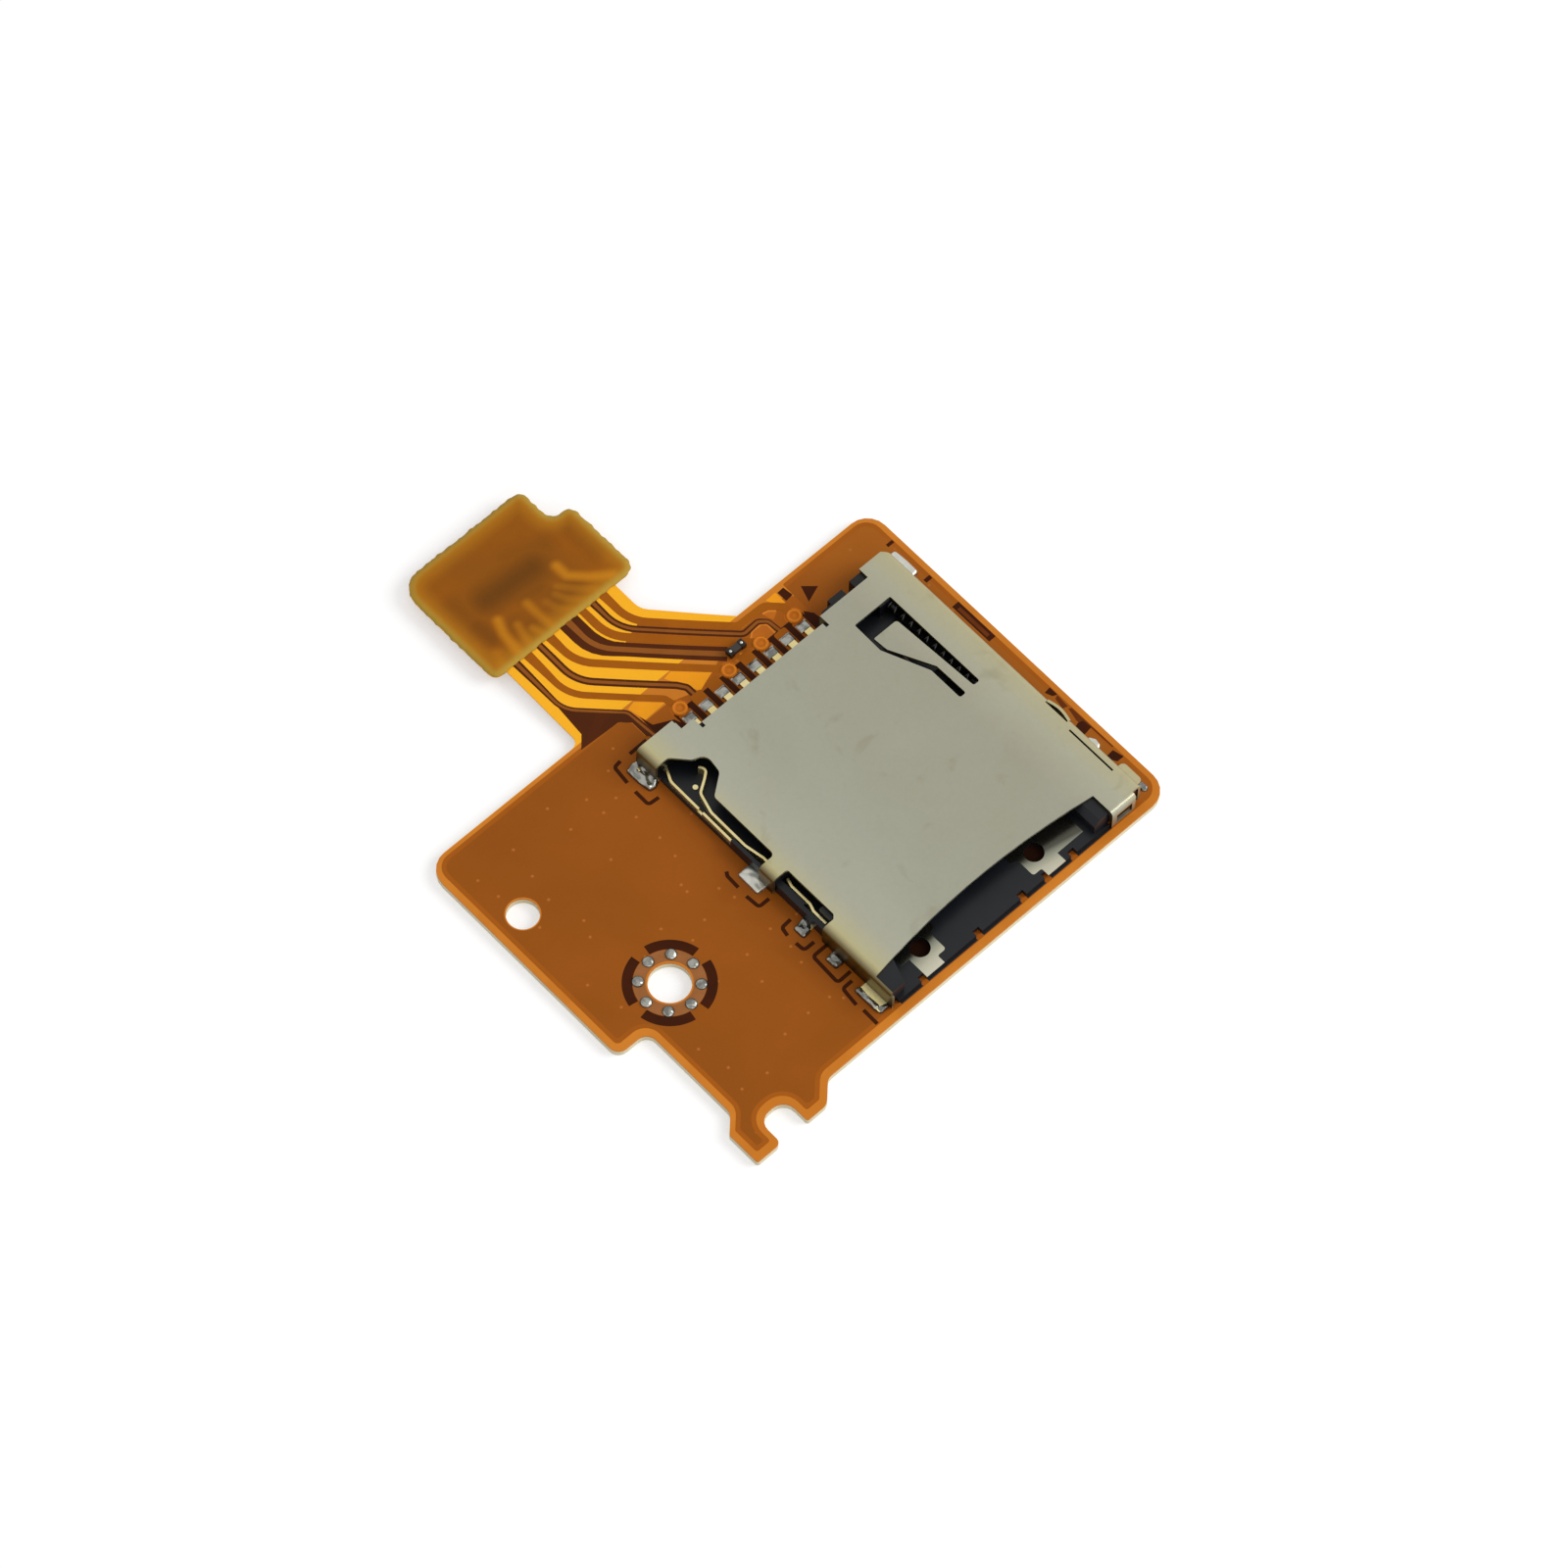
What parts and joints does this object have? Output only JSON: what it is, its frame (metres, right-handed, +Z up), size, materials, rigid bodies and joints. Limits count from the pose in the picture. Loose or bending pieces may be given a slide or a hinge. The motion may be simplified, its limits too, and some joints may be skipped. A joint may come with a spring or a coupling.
{
  "type": "micro sd card socket",
  "caption": "Push-push memory card socket with a folded metal shell, soldered to a small stiffened flexible board that has a screw hole, a locating hole and a tail ending in a plug.",
  "frame": {"origin": "middle of the contact row, on the underside of the board's stiffener", "axes": "+X along the contact row towards the ejector side, +Y the way the card goes in (towards the tail), +Z up from the board through the socket"},
  "size_m": [0.03, 0.0354, 0.0019],
  "materials": {
    "flex_film": "satin amber film over copper traces",
    "stiffener": "cream glass laminate",
    "tab_film": "olive brown satin film",
    "black_plastic": "fine moulded",
    "nickel": "satin champagne nickel plate",
    "gold": "pale gold plate",
    "spring_steel": "drawn wire",
    "solder": "smooth reflowed solder",
    "chip_ceramic": "fired ceramic"
  },
  "bodies": {
    "board": {"flex_board": "flex_film", "board_stiffener": "stiffener", "tab_film": "tab_film", "plug_housing": "black_plastic", "plug_contacts": "gold", "plug_anchors": "gold", "socket_shell": "nickel", "socket_base": "black_plastic", "detect_lever": "gold", "detect_contact": "gold", "lock_leaf": "gold", "ground_plate_left": "nickel", "ground_plate_right": "nickel", "eject_spring": "spring_steel", "tail_solder": "solder", "terminal_solder": "solder", "ring_solder": "solder", "chip_body": "chip_ceramic", "chip_ends": "solder", "contact_1": "gold", "contact_2": "gold", "contact_3": "gold", "contact_4": "gold", "contact_5": "gold", "contact_6": "gold", "contact_7": "gold", "contact_8": "gold"},
    "slider": {"eject_slider": "black_plastic"},
    "pin": {"cam_pin": "spring_steel"}
  },
  "joints": [
    {"name": "slider_slide", "type": "slide", "parent": "board", "child": "slider", "axis": [0, 1, 0], "range_m": [0, 0.0026], "stiffness_N_per_m": 200, "springref_m": -0.0015, "deforming": ["eject_spring"]},
    {"name": "pin_swing", "type": "hinge", "parent": "board", "child": "pin", "pos_m": [0.00611, -0.0034, 0.00047], "axis": [0, 0, 1], "range_deg": [0, 12.9]}
  ]
}
